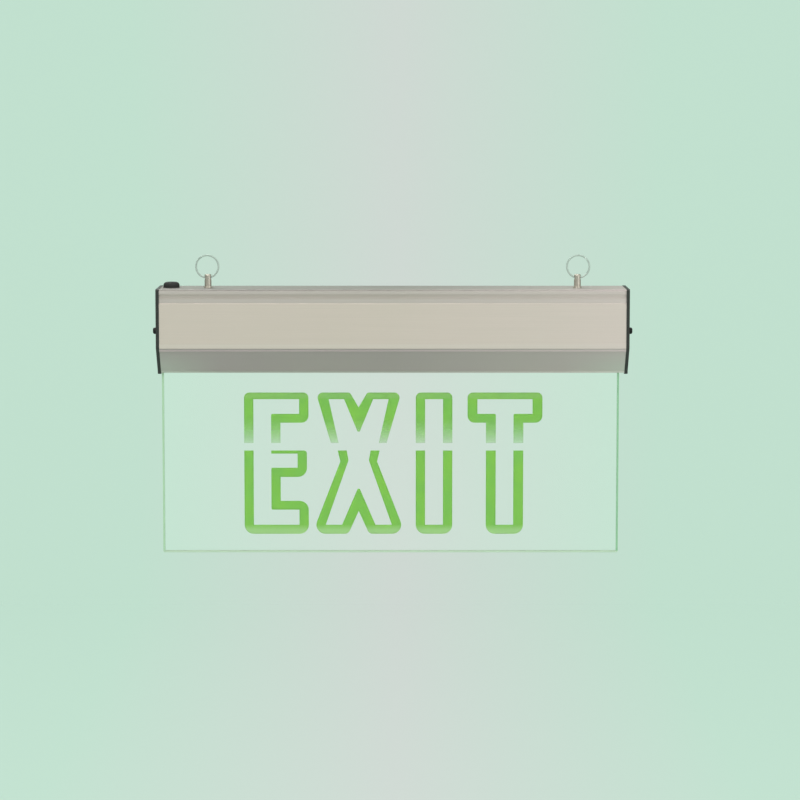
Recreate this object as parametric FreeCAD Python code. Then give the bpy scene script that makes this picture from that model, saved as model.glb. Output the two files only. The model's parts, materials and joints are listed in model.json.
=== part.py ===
import FreeCAD, Part
import math
import os

from FreeCAD import Vector

# Emergency exit light that hangs from two split rings. X runs along the housing, the face that is
# read looks along -Y and Z is up. The origin lies in the middle of the housing's top face, halfway
# between the two hanger studs. Sizes are in millimetres.

# Housing extrusion
housing_length = 350.0
housing_height = 64.0
half_depth = 22.0
strip_recess = 0.5
strip_height = 10.3
strip_step = 0.5
groove_depth_down = 5.2
groove_width = 2.6
groove_cut = 0.35
top_corner = 1.6
arris_depth = 44.4
arris_radius = 1.2
lip_half = 6.0
lip_height = 1.3
side_wall = 1.8
top_wall = 2.0
slant_wall = 1.6
leg_wall = 1.4
leg_height = 7.5

# Screw ports that run the length of the extrusion
port_bore = 2.5
port_wall = 1.75
port_depth_down = 31.2
port_bite = 0.6
port_mouth = 1.4

# Grooved arms that carry the LED board
arm_thickness = 1.5
channel_lip = 1.3
channel_back = 1.7
board_grip = 0.75
board_gap = 0.15

# End caps
cap_thickness = 2.5
cap_overhang = 0.3
cap_drop = 1.0
cap_corner = 1.4
cap_edge = 0.5
cap_rim_depth = 2.0
cap_rim_wall = 1.4
cap_rim_height = 22.0
cap_rim_gap = 0.3

# Pan head screws
cap_screw_head = 5.0
cap_screw_rise = 2.3
cap_screw_core = 2.4
cap_screw_length = 12.0
screw_hole_gap = 0.3
cross_width = 0.9
cross_depth = 1.2
small_head = 4.6
small_rise = 1.6
small_core = 2.3
small_length = 4.5

# Hanger studs and their fastening
stud_end_gap = 35.6
stud_diameter = 5.2
stud_rise = 10.2
stud_crown = 0.9
stud_foot_diameter = 6.6
stud_foot_height = 0.8
stud_hole_rise = 7.5
stud_hole_diameter = 3.3
shank_diameter = 3.9
shank_reach = 5.0
shank_hole_gap = 0.2
washer_diameter = 9.0
washer_thickness = 0.8
nut_flats = 7.0
nut_thickness = 3.2
thread_gap = 0.05

# Split rings
ring_mean_radius = 8.45
wire_radial = 1.3
wire_axial = 0.68
wire_edge = 0.22
turn_gap = 0.08
ring_lean = 3.5
jog_span = 22.0
jog_steps = 4
end_gap = 3.0
left_jog_angle = 118.0
right_jog_angle = 40.0

# Cable grommet
grommet_end_gap = 8.0
grommet_bore = 6.0
grommet_crown = 12.2
grommet_rise = 4.3
grommet_round = 2.6
grommet_neck = 9.0
grommet_flange = 11.0
grommet_flange_thickness = 1.4
grommet_hole_gap = 0.15
grommet_lead_in = 0.4

# Sign panel, hung in the slot
panel_left_gap = 0.3
panel_right_gap = 3.7
panel_thickness = 5.0
panel_gap = 0.3
panel_grip = 14.5
panel_drop = 137.9
panel_edge = 0.8

# Clamp strips that hold the panel on the slot's legs
clamp_end_gap = 15.0
clamp_wall = 1.4
clamp_foot = 5.4
clamp_rise = 6.8
clamp_screw_rise = 4.3
clamp_screw_pitch = 120.0
clamp_screw_count = 3
clamp_screw_head = 5.0
clamp_screw_head_rise = 1.8
clamp_screw_core = 2.9
clamp_nut_flats = 5.0
clamp_nut_thickness = 2.2
clamp_screw_spare = 0.6

# LED board
board_end_gap = 7.0
led_board_width = 14.0
led_board_thickness = 1.6
led_board_rise = 2.8
led_count = 24
led_length = 3.5
led_width = 2.8
led_height = 1.0

# Gear tray and what stands on it
tray_width = 28.0
tray_sheet = 1.2
tray_flange = 4.5
tray_bend = 1.0
tray_slot_gap = 9.0
tray_slot_diameter = 6.0

battery_start = 22.0
battery_end_gap = 22.0
battery_diameter = 22.6
battery_edge = 1.0
clip_width = 10.0
clip_sheet = 0.8
clip_gap = 0.1
clip_mouth = 100.0
clip_seat_width = 10.0
clip_inset = 24.0

board_end_space = 63.0
board_length = 100.0
board_width = 25.0
board_thickness = 1.6
standoff_diameter = 5.0
standoff_height = 5.0
standoff_bore = 2.5
standoff_inset = 3.6

transformer_inset = 20.0
core_length = 20.0
core_width = 20.0
core_height = 16.0
core_limb = 4.5
winding_overhang = 3.0
winding_gap = 0.25
capacitor_inset = 44.0
capacitor_diameters = (10.0, 8.0, 8.0)
capacitor_heights = (14.0, 11.0, 11.0)
capacitor_pitch = 11.5
capacitor_edge = 0.6
relay_inset = 44.0
relay_length = 15.0
relay_width = 8.0
relay_height = 11.0
fuse_inset = 27.0
fuse_length = 20.0
fuse_diameter = 5.0
fuse_cap_length = 5.0
fuse_lift = 1.2
fuse_clip_wall = 0.6
fuse_clip_width = 4.0
board_front_row = -6.0
board_rear_row = 6.0
led_plug_row = 3.0
plug_length = 7.5
plug_width = 6.0
plug_height = 6.0
plug_inset = 2.0

terminal_gap = 17.0
terminal_length = 16.0
terminal_width = 24.0
terminal_height = 14.0
terminal_ways = 3
terminal_screw_well = 4.2
terminal_screw_sink = 2.0
terminal_wire_bore = 3.2
anchor_end_space = 24.0
anchor_length = 9.0
anchor_width = 24.0
anchor_foot_height = 2.5
anchor_bridge_height = 7.5
anchor_screw_inset = 3.4

# Leads
lead_diameter = 1.6
lead_bend = 5.0
lead_entry_height = 3.0
battery_lead_height = 6.0

# Test switch and charge indicator in the rear wall
switch_x = 3.0
switch_depth_down = 20.5
switch_body_size = 9.0
switch_body_depth = 9.0
bush_diameter = 7.0
bush_reach = 3.0
bush_hole_gap = 0.15
switch_nut_flats = 9.0
switch_nut_thickness = 1.8
button_diameter = 4.2
button_gap = 0.25
button_rise = 3.0
button_travel = 1.5
button_flange_diameter = 6.0
button_flange_thickness = 1.0
button_crown = 0.6
button_end_gap = 0.6
indicator_x = -16.0
indicator_bezel_diameter = 8.0
indicator_bezel_rise = 1.0
indicator_barrel = 6.4
indicator_hole_gap = 0.15
indicator_length = 7.0
indicator_lens_diameter = 5.0
indicator_lens_gap = 0.1
indicator_lens_rise = 1.2

# Places that follow from the sizes above
half_length = housing_length / 2
half_stud = half_length - stud_end_gap
strip_half = half_depth - strip_recess
wall_inner = half_depth - side_wall
slot_half = panel_thickness / 2 + panel_gap
leg_outer = slot_half + leg_wall
leg_top = leg_height - housing_height
port_radius = port_bore / 2 + port_wall
port_y = wall_inner - port_radius + port_bite
port_z = -port_depth_down
channel_half = led_board_width / 2 + board_gap
channel_tip = led_board_width / 2 - board_grip
panel_top = housing_height - panel_grip
panel_bottom = housing_height + panel_drop
panel_start = panel_left_gap - half_length
panel_end = half_length - panel_right_gap
led_board_drop = panel_top - led_board_rise
led_board_length = housing_length - 2 * board_end_gap
led_pitch = led_board_length / (led_count + 0.7)
clamp_length = housing_length - 2 * clamp_end_gap
tray_length = led_board_length
groove_floor = -led_board_drop
groove_roof = groove_floor + led_board_thickness + board_gap
channel_top = groove_roof + channel_lip
channel_floor = groove_floor - channel_lip
tray_top = channel_top + tray_sheet
board_bottom = tray_top + standoff_height
board_top = board_bottom + board_thickness
clamp_screw_z = leg_top + clamp_screw_rise
grommet_x = grommet_end_gap - half_length
anchor_x = anchor_end_space - half_length
board_start = board_end_space - half_length
board_end = board_start + board_length
terminal_x = board_start - terminal_gap
transformer_x = board_start + transformer_inset
capacitor_x = board_start + capacitor_inset
relay_x = board_start + relay_inset
fuse_x = board_end - fuse_inset
tray_slot_x = board_end + tray_slot_gap
battery_length = half_length - battery_start - battery_end_gap
battery_y = 0.0
battery_z = tray_top + clip_sheet + clip_gap + battery_diameter / 2
switch_z = -switch_depth_down
half_pitch = (wire_axial + turn_gap) / 2

X_AXIS = Vector(1, 0, 0)
Y_AXIS = Vector(0, 1, 0)
Z_AXIS = Vector(0, 0, 1)


def box(x_span, y_span, z_span):
    size = [span[1] - span[0] for span in (x_span, y_span, z_span)]
    return Part.makeBox(*size, Vector(x_span[0], y_span[0], z_span[0]))


def rod(diameter, length, foot, axis):
    return Part.makeCylinder(diameter / 2, length, foot, axis)


def outline(corners):
    """Closed wire in the YZ plane through (y, z, radius) corners; a radius of 0 leaves a corner sharp."""
    trims = []
    for index, (y, z, radius) in enumerate(corners):
        here = Vector(0, y, z)
        if radius == 0:
            trims.append((here, None, here))
            continue
        last = corners[index - 1]
        following = corners[(index + 1) % len(corners)]
        back = (Vector(0, last[0], last[1]) - here).normalize()
        ahead = (Vector(0, following[0], following[1]) - here).normalize()
        half_angle = back.getAngle(ahead) / 2
        reach = radius / math.tan(half_angle)
        bisector = (back + ahead).normalize()
        middle = here + bisector * (radius / math.sin(half_angle) - radius)
        trims.append((here + back * reach, middle, here + ahead * reach))
    edges = []
    for index, (start, middle, end) in enumerate(trims):
        if middle is not None:
            edges.append(Part.Arc(start, middle, end).toShape())
        onward = trims[(index + 1) % len(trims)][0]
        if (onward - end).Length > 1e-6:
            edges.append(Part.makeLine(end, onward))
    return Part.Wire(edges)


def mirrored(half):
    """A whole outline from the corners of its half with y above 0, listed from the top down."""
    return half + [(-y, z, radius) for y, z, radius in reversed(half)]


def extruded(face, x_start, x_end):
    section = face.copy()
    section.translate(Vector(x_start, 0, 0))
    return section.extrude(Vector(x_end - x_start, 0, 0))


def panel_of(corners, x_start, x_end):
    return extruded(Part.Face(outline(corners)), x_start, x_end)


def rectangle(y_span, z_span):
    corners = [(y_span[0], z_span[0], 0), (y_span[1], z_span[0], 0)]
    corners += [(y_span[1], z_span[1], 0), (y_span[0], z_span[1], 0)]
    return Part.Face(outline(corners))


def disc(y, z, radius):
    circle = Part.Circle(Vector(0, y, z), X_AXIS, radius)
    return Part.Face(Part.Wire(circle.toShape()))


def both_sides(shape):
    return shape.fuse(shape.mirror(Vector(0, 0, 0), Y_AXIS))


def turned(points):
    """A turned piece on the Z axis from the (radius, z, corner radius) points of its half section."""
    face = Part.Face(outline(points))
    return face.revolve(Vector(0, 0, 0), Z_AXIS, 360)


def point_along(shape, direction, place):
    """Turns a piece made along +Z so that it points along direction, then puts it in place."""
    copy = shape.copy()
    turn = FreeCAD.Rotation(Z_AXIS, direction)
    copy.Placement = FreeCAD.Placement(place, turn).multiply(copy.Placement)
    return copy


def joined(first, *others):
    return first.fuse(list(others)).removeSplitter()


def group(solids):
    return Part.makeCompound(solids)


def pan_screw(head, rise, core, length, recess=True):
    """Pan head screw along +Z: the head stands on z = 0 and the core runs down from it."""
    crown = min(rise * 0.62, head * 0.3)
    edge = [(0, -length, 0), (core / 2, -length, 0), (core / 2, 0, 0), (head / 2, 0, 0)]
    if not recess:
        edge += [(head / 2, rise - crown, 0), (head / 2 - crown, rise, 0), (0, rise, 0)]
        return turned(edge)
    screw = turned(edge + [(head / 2, rise, crown), (0, rise, 0)])
    arm = cross_width / 2
    reach = head * 0.29
    sink = rise - min(cross_depth, rise * 0.6)
    slot = box((-reach, reach), (-arm, arm), (sink, rise + 1))
    slot = slot.fuse(box((-arm, arm), (-reach, reach), (sink, rise + 1)))
    return screw.cut(slot)


def hex_nut(flats, thickness, bore):
    """Hexagon nut on z = 0 with its corners turned down at the outer face."""
    corner = flats / math.sqrt(3)
    points = []
    for step in range(7):
        angle = math.radians(60 * step)
        points.append(Vector(corner * math.cos(angle), corner * math.sin(angle), 0))
    body = Part.Face(Part.makePolygon(points)).extrude(Vector(0, 0, thickness))
    turn_down = corner - flats / 2
    cone = [(0, 0, 0), (corner, 0, 0), (corner, thickness - turn_down * 0.6, 0)]
    cone += [(flats / 2, thickness, 0), (0, thickness, 0)]
    hole = rod(bore, thickness, Vector(0, 0, 0), Z_AXIS)
    return body.common(turned(cone)).cut(hole)


# Housing profile

def slant_inner(y):
    """Height of the slanted wall's inner face at y."""
    run = half_depth - lip_half
    fall = housing_height - lip_height - arris_depth
    slope = fall / run
    upright_thickness = slant_wall * math.hypot(run, fall) / run
    return -arris_depth - (half_depth - y) * slope + upright_thickness


def outer_half():
    groove_top = -groove_depth_down + groove_width / 2
    groove_bottom = -groove_depth_down - groove_width / 2
    groove_y = strip_half - groove_cut
    half = [(strip_half, 0, top_corner)]
    half += [(strip_half, groove_top, 0), (groove_y, groove_top - groove_cut, 0)]
    half += [(groove_y, groove_bottom + groove_cut, 0), (strip_half, groove_bottom, 0)]
    half += [(strip_half, -strip_height, 0), (half_depth, -strip_height - strip_step, 0)]
    half += [(half_depth, -arris_depth, arris_radius)]
    half += [(lip_half, lip_height - housing_height, 0), (lip_half, -housing_height, 0)]
    return half


def port_faces():
    """The wall of one screw port, and its bore with the mouth that opens into the housing."""
    wall = disc(port_y, port_z, port_radius)
    bore = disc(port_y, port_z, port_bore / 2)
    mouth_z = (port_z - port_mouth / 2, port_z + port_mouth / 2)
    mouth = rectangle((port_y - port_radius - 1, port_y), mouth_z)
    return [wall], [bore, mouth]


def channel_faces():
    """The arm that holds one edge of the LED board, and the groove cut into its end."""
    back = channel_half + channel_back
    block = rectangle((channel_tip, back), (channel_floor, channel_top))
    middle = (channel_top + channel_floor) / 2
    reach = (back - channel_back / 2, half_depth - side_wall / 2)
    arm = rectangle(reach, (middle - arm_thickness / 2, middle + arm_thickness / 2))
    groove = rectangle((channel_tip - 1, channel_half), (groove_floor, groove_roof))
    return [block, arm], [groove]


def profile_bar():
    """The extrusion itself: a hollow bar, open along the panel slot, with ports, legs and arms inside."""
    def long(face):
        return extruded(face, -half_length, half_length)

    cavity_half = [(wall_inner, -top_wall, 0), (wall_inner, slant_inner(wall_inner), 0)]
    cavity_half += [(leg_outer, slant_inner(leg_outer), 0)]
    bar = panel_of(mirrored(outer_half()), -half_length, half_length)
    bar = bar.cut(panel_of(mirrored(cavity_half), -half_length, half_length))
    bar = bar.cut(long(rectangle((-slot_half, slot_half), (-housing_height - 1, leg_top))))
    port_walls, port_holes = port_faces()
    arms, grooves = channel_faces()
    leg = rectangle((slot_half, leg_outer), (-housing_height, leg_top))
    added = [both_sides(long(face)) for face in port_walls + arms + [leg]]
    removed = [both_sides(long(face)) for face in port_holes + grooves]
    return bar.fuse(added).cut(removed).removeSplitter()


def housing_profile():
    top_start = Vector(0, 0, -top_wall - 1)
    rear_start = Vector(0, wall_inner - 1, switch_z)
    top_holes = [(x, shank_diameter + 2 * shank_hole_gap) for x in (-half_stud, half_stud)]
    top_holes.append((grommet_x, grommet_neck + 2 * grommet_hole_gap))
    rear_holes = [(switch_x, bush_diameter + 2 * bush_hole_gap)]
    rear_holes.append((indicator_x, indicator_barrel + 2 * indicator_hole_gap))
    cutters = [rod(size, top_wall + 2, top_start + X_AXIS * x, Z_AXIS) for x, size in top_holes]
    cutters += [rod(size, side_wall + 2, rear_start + X_AXIS * x, Y_AXIS) for x, size in rear_holes]
    return profile_bar().cut(cutters)


# End caps

def cap_outline():
    y = half_depth + cap_overhang
    bottom = -housing_height - cap_drop
    half = [(y, cap_overhang, cap_corner), (y, -arris_depth, arris_radius)]
    half += [(lip_half + cap_overhang, lip_height - housing_height, 0.8)]
    half += [(lip_half + cap_overhang, bottom, 1.2)]
    return mirrored(half)


def end_cap(side):
    """Moulded cap for the right end (side 1) or, mirrored, for the left one (side -1)."""
    plate = panel_of(cap_outline(), half_length, half_length + cap_thickness)
    outer_face = max(plate.Faces, key=lambda face: face.CenterOfMass.x)
    plate = plate.makeFillet(min(cap_edge, cap_thickness / 2), outer_face.Edges)
    outer_y = wall_inner - cap_rim_gap
    outer_z = -top_wall - cap_rim_gap
    rim_x = (half_length - cap_rim_depth, half_length)
    rim = box(rim_x, (-outer_y, outer_y), (outer_z - cap_rim_height, outer_z))
    inner_y = outer_y - cap_rim_wall
    hollow = box((rim_x[0] - 1, rim_x[1]), (-inner_y, inner_y),
                 (outer_z - cap_rim_height - 1, outer_z - cap_rim_wall))
    cap = joined(plate, rim.cut(hollow))
    for y in (-port_y, port_y):
        hole = rod(cap_screw_core + 2 * screw_hole_gap, cap_thickness + 2,
                   Vector(half_length - 1, y, port_z), X_AXIS)
        cap = cap.cut(hole)
    if side < 0:
        cap = cap.mirror(Vector(0, 0, 0), X_AXIS)
    return cap


def end_cap_screws():
    screw = pan_screw(cap_screw_head, cap_screw_rise, cap_screw_core, cap_screw_length)
    screws = []
    for side in (-1, 1):
        for y in (-port_y, port_y):
            seat = Vector(side * (half_length + cap_thickness), y, port_z)
            screws.append(point_along(screw, X_AXIS * side, seat))
    return group(screws)


# Hangers

def hanger_stud(x):
    core = shank_diameter / 2
    shank_end = -top_wall - washer_thickness - shank_reach
    section = [(0, shank_end, 0), (core, shank_end, 0.4), (core, 0, 0)]
    section += [(stud_foot_diameter / 2, 0, 0), (stud_foot_diameter / 2, stud_foot_height, 0.3)]
    section += [(stud_diameter / 2, stud_foot_height, 0), (stud_diameter / 2, stud_rise, stud_crown)]
    section += [(0, stud_rise, 0)]
    stud = turned(section)
    hole = rod(stud_hole_diameter, stud_diameter * 2, Vector(-stud_diameter, 0, stud_hole_rise), X_AXIS)
    stud = stud.cut(hole)
    stud.translate(Vector(x, 0, 0))
    return stud


def hanger_washer(x):
    seat = Vector(x, 0, -top_wall - washer_thickness)
    disc_part = rod(washer_diameter, washer_thickness, seat, Z_AXIS)
    return disc_part.cut(rod(shank_diameter + 2 * shank_hole_gap, washer_thickness, seat, Z_AXIS))


def hanger_nut(x):
    nut = hex_nut(nut_flats, nut_thickness, shank_diameter + 2 * thread_gap)
    return point_along(nut, Z_AXIS * -1, Vector(x, 0, -top_wall - washer_thickness))


def wire_section(offset):
    """Flat wire section with bevelled corners, at the ring's +X side."""
    half_radial = wire_radial / 2
    half_axial = wire_axial / 2
    edge = wire_edge
    near = offset - half_axial
    far = offset + half_axial
    inner = ring_mean_radius - half_radial
    outer = ring_mean_radius + half_radial
    corners = [(near, inner + edge), (near + edge, inner), (far - edge, inner), (far, inner + edge)]
    corners += [(far, outer - edge), (far - edge, outer), (near + edge, outer), (near, outer - edge)]
    wire = outline([(y, z, 0) for y, z in corners])
    wire.rotate(Vector(0, 0, 0), Y_AXIS, 90)
    return wire


def turn_of_wire(offset, start, end):
    face = Part.Face(wire_section(offset))
    face.rotate(Vector(0, 0, 0), Y_AXIS, -start)
    return face.revolve(Vector(0, 0, 0), Y_AXIS * -1, end - start)


def jog_of_wire():
    """The short stretch where the wire crosses from the front turn to the rear one."""
    sections = []
    for step in range(jog_steps + 1):
        share = step / jog_steps
        ease = share * share * (3 - 2 * share)
        wire = wire_section(half_pitch * (2 * ease - 1))
        wire.rotate(Vector(0, 0, 0), Y_AXIS, -jog_span * share)
        sections.append(wire)
    return Part.makeLoft(sections, True, False)


def split_ring(x, jog_angle):
    front_turn = turn_of_wire(-half_pitch, jog_span + end_gap, 360)
    rear_turn = turn_of_wire(half_pitch, jog_span, 360 - end_gap)
    ring = front_turn.fuse([jog_of_wire(), rear_turn])
    ring.rotate(Vector(0, 0, 0), Y_AXIS, -jog_angle)
    ring.translate(Vector(0, 0, ring_mean_radius))
    ring.rotate(Vector(0, 0, 0), Y_AXIS, math.copysign(ring_lean, x))
    ring.translate(Vector(x, 0, stud_hole_rise))
    return ring


# Cable grommet

def cable_grommet():
    bore = grommet_bore / 2
    neck = grommet_neck / 2
    flange_bottom = -top_wall - grommet_flange_thickness
    section = [(bore, flange_bottom, 0), (grommet_flange / 2, flange_bottom, 0.5)]
    section += [(grommet_flange / 2, -top_wall, 0), (neck, -top_wall, 0), (neck, 0, 0)]
    section += [(grommet_crown / 2, 0, 0), (grommet_crown / 2, grommet_rise, grommet_round)]
    section += [(bore + grommet_lead_in, grommet_rise, 0), (bore, grommet_rise - grommet_lead_in, 0)]
    grommet = turned(section)
    grommet.translate(Vector(grommet_x, 0, 0))
    return grommet


# Sign panel and its clamps

def clamp_screw_places():
    middle = (clamp_screw_count - 1) / 2
    return [(index - middle) * clamp_screw_pitch for index in range(clamp_screw_count)]


def sign_panel():
    panel = box((panel_start, panel_end), (-panel_thickness / 2, panel_thickness / 2),
                (-panel_bottom, -panel_top))
    panel = panel.makeChamfer(panel_edge, panel.Edges)
    for x in clamp_screw_places():
        panel = panel.cut(rod(clamp_screw_core + 2 * screw_hole_gap, panel_thickness * 2,
                              Vector(x, -panel_thickness, clamp_screw_z), Y_AXIS))
    return panel


def panel_clamp(side):
    """Angle strip that stands on a slot leg and grips the panel; side -1 is the front one."""
    face = panel_thickness / 2
    corners = [(face, leg_top, 0), (face + clamp_foot, leg_top, 0)]
    corners += [(face + clamp_foot, leg_top + clamp_wall, 0), (face + clamp_wall, leg_top + clamp_wall, 0)]
    corners += [(face + clamp_wall, leg_top + clamp_rise, 0), (face, leg_top + clamp_rise, 0)]
    strip = panel_of(corners, -clamp_length / 2, clamp_length / 2)
    for x in clamp_screw_places():
        strip = strip.cut(rod(clamp_screw_core + 2 * screw_hole_gap, clamp_wall + 2,
                              Vector(x, face - 1, clamp_screw_z), Y_AXIS))
    if side < 0:
        strip = strip.mirror(Vector(0, 0, 0), Y_AXIS)
    return strip


def panel_clamp_screws():
    seat = panel_thickness / 2 + clamp_wall
    length = 2 * seat + clamp_nut_thickness + clamp_screw_spare
    screw = pan_screw(clamp_screw_head, clamp_screw_head_rise, clamp_screw_core, length, False)
    places = [Vector(x, -seat, clamp_screw_z) for x in clamp_screw_places()]
    return group([point_along(screw, Y_AXIS * -1, place) for place in places])


def panel_clamp_nuts():
    nut = hex_nut(clamp_nut_flats, clamp_nut_thickness, clamp_screw_core + 2 * thread_gap)
    seat = panel_thickness / 2 + clamp_wall
    places = [Vector(x, seat, clamp_screw_z) for x in clamp_screw_places()]
    return group([point_along(nut, Y_AXIS, place) for place in places])


# LED board

def led_board():
    half = led_board_width / 2
    return box((-led_board_length / 2, led_board_length / 2), (-half, half),
               (-led_board_drop, -led_board_drop + led_board_thickness))


def leds():
    solids = []
    for index in range(led_count):
        x = (index - (led_count - 1) / 2) * led_pitch
        solids.append(box((x - led_length / 2, x + led_length / 2), (-led_width / 2, led_width / 2),
                          (-led_board_drop - led_height, -led_board_drop)))
    return group(solids)


# Gear tray, battery and control board

def gear_tray():
    half = tray_width / 2
    inner = half - tray_sheet
    rim = tray_top - tray_sheet + tray_flange
    corners = [(half, rim, 0), (half, tray_top - tray_sheet, tray_bend + tray_sheet * 0.5)]
    corners += [(-half, tray_top - tray_sheet, tray_bend + tray_sheet * 0.5), (-half, rim, 0)]
    corners += [(-inner, rim, 0), (-inner, tray_top, tray_bend * 0.5)]
    corners += [(inner, tray_top, tray_bend * 0.5), (inner, rim, 0)]
    tray = panel_of(corners, -tray_length / 2, tray_length / 2)
    slot = rod(tray_slot_diameter, tray_sheet + 2,
               Vector(tray_slot_x, led_plug_row, tray_top - tray_sheet - 1), Z_AXIS)
    return tray.cut(slot)


def battery_pack():
    stick = rod(battery_diameter, battery_length, Vector(battery_start, battery_y, battery_z), X_AXIS)
    ends = [edge for edge in stick.Edges if len(edge.Vertexes) == 1]
    return stick.makeChamfer(battery_edge, ends)


def battery_clip(x):
    inner = battery_diameter / 2 + clip_gap
    outer = inner + clip_sheet
    band = disc(battery_y, battery_z, outer).cut(disc(battery_y, battery_z, inner))
    half_mouth = math.radians(clip_mouth / 2)
    wedge_y = 2 * outer * math.tan(half_mouth)
    top = battery_z + 2 * outer
    wedge = Part.Face(outline([(battery_y, battery_z, 0), (battery_y - wedge_y, top, 0),
                               (battery_y + wedge_y, top, 0)]))
    seat_half = clip_seat_width / 2
    drop = outer - math.sqrt(outer ** 2 - seat_half ** 2)
    seat = rectangle((battery_y - seat_half, battery_y + seat_half),
                     (tray_top, tray_top + drop + clip_sheet / 2))
    seat = seat.cut(disc(battery_y, battery_z, inner))
    span = (x - clip_width / 2, x + clip_width / 2)
    return joined(extruded(band.cut(wedge), *span), extruded(seat, *span))


def standoff_places():
    inset = standoff_inset
    xs = (board_start + inset, board_end - inset)
    half = board_width / 2 - inset
    return [(x, y) for x in xs for y in (-half, half)]


def control_board():
    half = board_width / 2
    board = box((board_start, board_end), (-half, half), (board_bottom, board_top))
    for x, y in standoff_places():
        foot = Vector(x, y, board_bottom)
        board = board.cut(rod(small_core + 2 * screw_hole_gap, board_thickness, foot, Z_AXIS))
    return board


def board_standoffs():
    solids = []
    for x, y in standoff_places():
        post = rod(standoff_diameter, standoff_height, Vector(x, y, tray_top), Z_AXIS)
        solids.append(post.cut(rod(standoff_bore, standoff_height, Vector(x, y, tray_top), Z_AXIS)))
    return group(solids)


def board_screws():
    screw = pan_screw(small_head, small_rise, small_core, small_length, False)
    return group([point_along(screw, Z_AXIS, Vector(x, y, board_top)) for x, y in standoff_places()])


def transformer_core():
    half_x = core_length / 2
    half_y = core_width / 2
    body = box((transformer_x - half_x, transformer_x + half_x), (-half_y, half_y),
               (board_top, board_top + core_height))
    inner_x = half_x - core_limb
    centre = core_limb / 2
    window_z = (board_top + core_limb, board_top + core_height - core_limb)
    for low, high in ((-inner_x, -centre), (centre, inner_x)):
        body = body.cut(box((transformer_x + low, transformer_x + high), (-half_y, half_y), window_z))
    return body


def transformer_winding():
    """Bobbin and winding round the core's middle limb, filling both windows."""
    half_x = core_length / 2 - core_limb - winding_gap
    half_y = core_width / 2 + winding_overhang
    z_span = (board_top + core_limb + winding_gap, board_top + core_height - core_limb - winding_gap)
    coil = box((transformer_x - half_x, transformer_x + half_x), (-half_y, half_y), z_span)
    limb = core_limb / 2 + winding_gap
    core_half = core_width / 2 + winding_gap
    return coil.cut(box((transformer_x - limb, transformer_x + limb), (-core_half, core_half), z_span))


def capacitors():
    solids = []
    for index, (diameter, height) in enumerate(zip(capacitor_diameters, capacitor_heights)):
        foot = Vector(capacitor_x + index * capacitor_pitch, board_front_row, board_top)
        can = rod(diameter, height, foot, Z_AXIS)
        solids.append(can.makeChamfer(capacitor_edge, [can.Faces[1].OuterWire.Edges[0]]))
    return group(solids)


def relay():
    return box((relay_x - relay_length / 2, relay_x + relay_length / 2),
               (board_rear_row - relay_width / 2, board_rear_row + relay_width / 2),
               (board_top, board_top + relay_height))


def fuse():
    z = board_top + fuse_lift + fuse_diameter / 2
    start = Vector(fuse_x - fuse_length / 2, board_rear_row, z)
    glass = rod(fuse_diameter - 0.6, fuse_length, start, X_AXIS)
    last_cap = start + X_AXIS * (fuse_length - fuse_cap_length)
    caps = [rod(fuse_diameter, fuse_cap_length, place, X_AXIS) for place in (start, last_cap)]
    return glass.fuse(caps).removeSplitter()


def fuse_clips():
    z = board_top + fuse_lift + fuse_diameter / 2
    inner = fuse_diameter / 2 + clip_gap
    band = disc(board_rear_row, z, inner + fuse_clip_wall).cut(disc(board_rear_row, z, inner))
    mouth_z = (z + inner * 0.5, z + inner * 3)
    band = band.cut(rectangle((board_rear_row - inner * 2, board_rear_row + inner * 2), mouth_z))
    foot_half = inner * 0.6
    foot = rectangle((board_rear_row - foot_half, board_rear_row + foot_half), (board_top, z - inner * 0.9))
    foot = foot.cut(disc(board_rear_row, z, inner))
    solids = []
    for end in (-1, 1):
        middle = fuse_x + end * (fuse_length - fuse_cap_length) / 2
        span = (middle - fuse_clip_width / 2, middle + fuse_clip_width / 2)
        solids.append(joined(extruded(band, *span), extruded(foot, *span)))
    return group(solids)


def board_plug(y):
    end = board_end - 2 * plug_inset - small_head
    return box((end - plug_length, end), (y - plug_width / 2, y + plug_width / 2),
               (board_top, board_top + plug_height))


# Mains terminals and the cord anchor

def terminal_places():
    pitch = terminal_width / terminal_ways
    return [(index - (terminal_ways - 1) / 2) * pitch for index in range(terminal_ways)]


def terminal_block():
    half_y = terminal_width / 2
    top = tray_top + terminal_height
    body = box((terminal_x - terminal_length / 2, terminal_x + terminal_length / 2), (-half_y, half_y),
               (tray_top, top))
    well_depth = terminal_height / 2
    wire_x = terminal_x - terminal_length / 2 - 1
    wire_z = tray_top + terminal_height * 0.35
    for y in terminal_places():
        well = rod(terminal_screw_well, well_depth, Vector(terminal_x, y, top - well_depth), Z_AXIS)
        wire = rod(terminal_wire_bore, terminal_length + 2, Vector(wire_x, y, wire_z), X_AXIS)
        body = body.cut([well, wire])
    return body


def terminal_screws():
    solids = []
    floor = tray_top + terminal_height * 0.5
    top = tray_top + terminal_height - terminal_screw_sink
    for y in terminal_places():
        solids.append(rod(terminal_screw_well - 0.3, top - floor, Vector(terminal_x, y, floor), Z_AXIS))
    return group(solids)


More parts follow.
